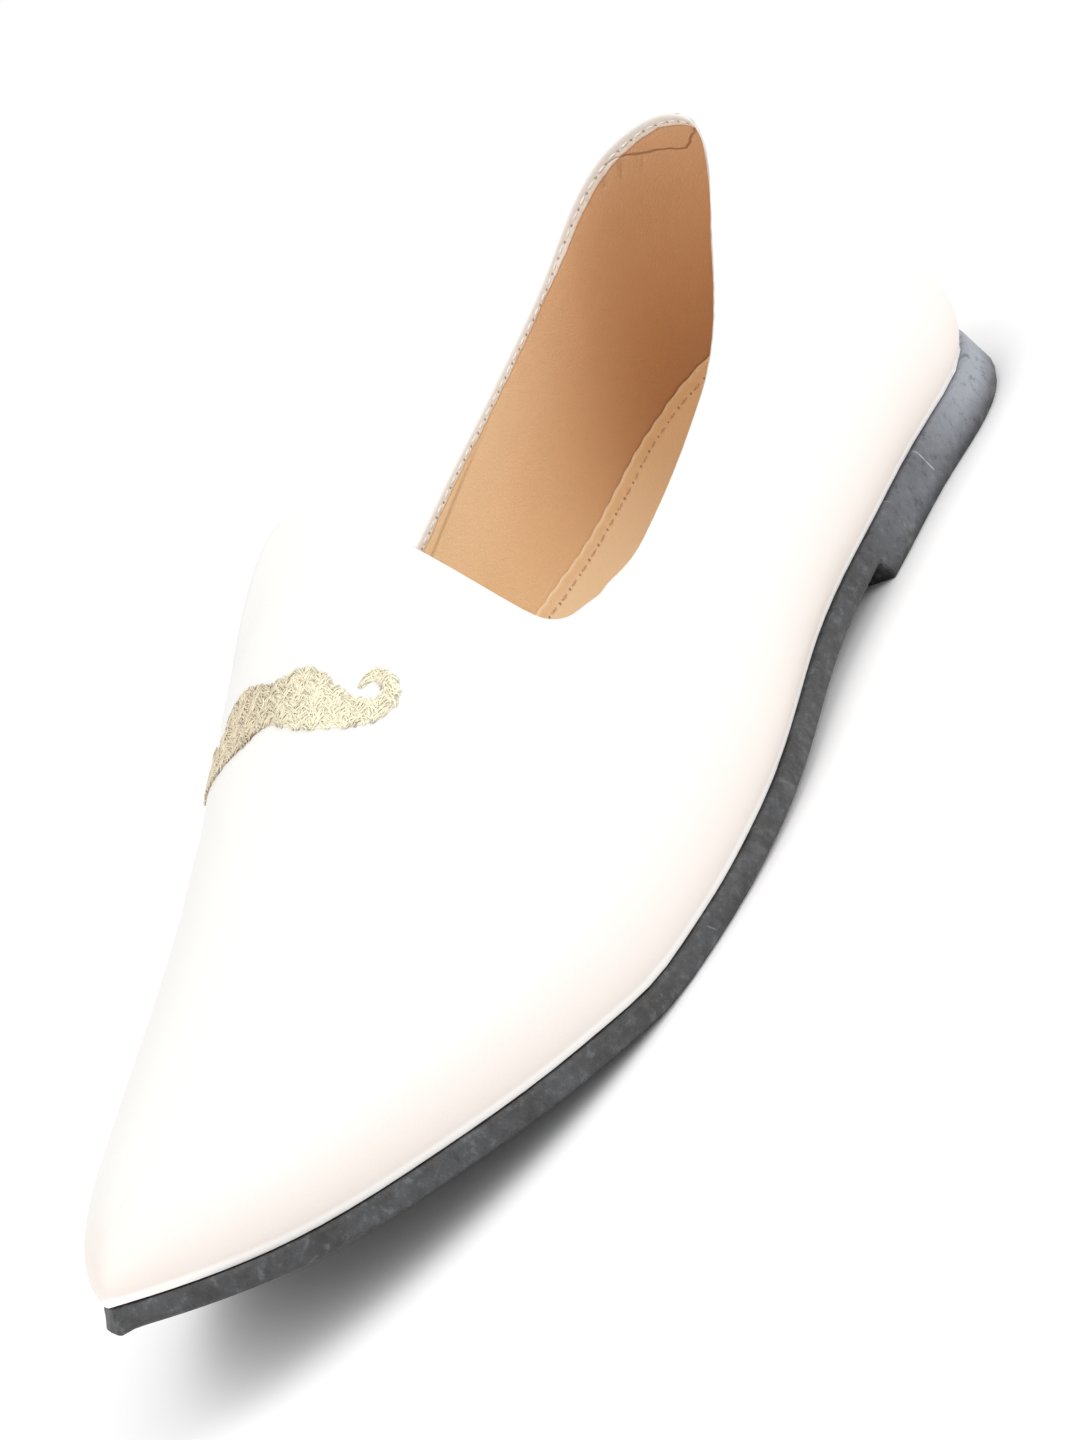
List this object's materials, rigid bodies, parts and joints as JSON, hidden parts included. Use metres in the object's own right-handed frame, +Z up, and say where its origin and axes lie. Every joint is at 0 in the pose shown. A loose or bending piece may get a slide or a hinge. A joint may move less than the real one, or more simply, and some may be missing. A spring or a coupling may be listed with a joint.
{
  "type": "mojari",
  "caption": "Pointed slip-on leather shoe with a low collar, raised throat, embroidered vamp, low-heeled rubber sole and upturned toe, left foot.",
  "frame": {"origin": "middle of the underside of the box round the whole shoe, on the floor it stands on", "axes": "+X from heel to toe along the shoe, +Y to the outer side (the wearer's left), +Z up"},
  "size_m": [0.2934, 0.098, 0.082],
  "materials": {
    "upper_leather": "smooth, low gloss, white",
    "sock_leather": "smooth, low gloss, tan",
    "sole_rubber": "matte, dark grey",
    "gold_thread": "gold thread, satin"
  },
  "bodies": {
    "root": {"outsole": "sole_rubber", "insole": "sock_leather", "upper": "upper_leather", "motif": "gold_thread"}
  },
  "joints": []
}
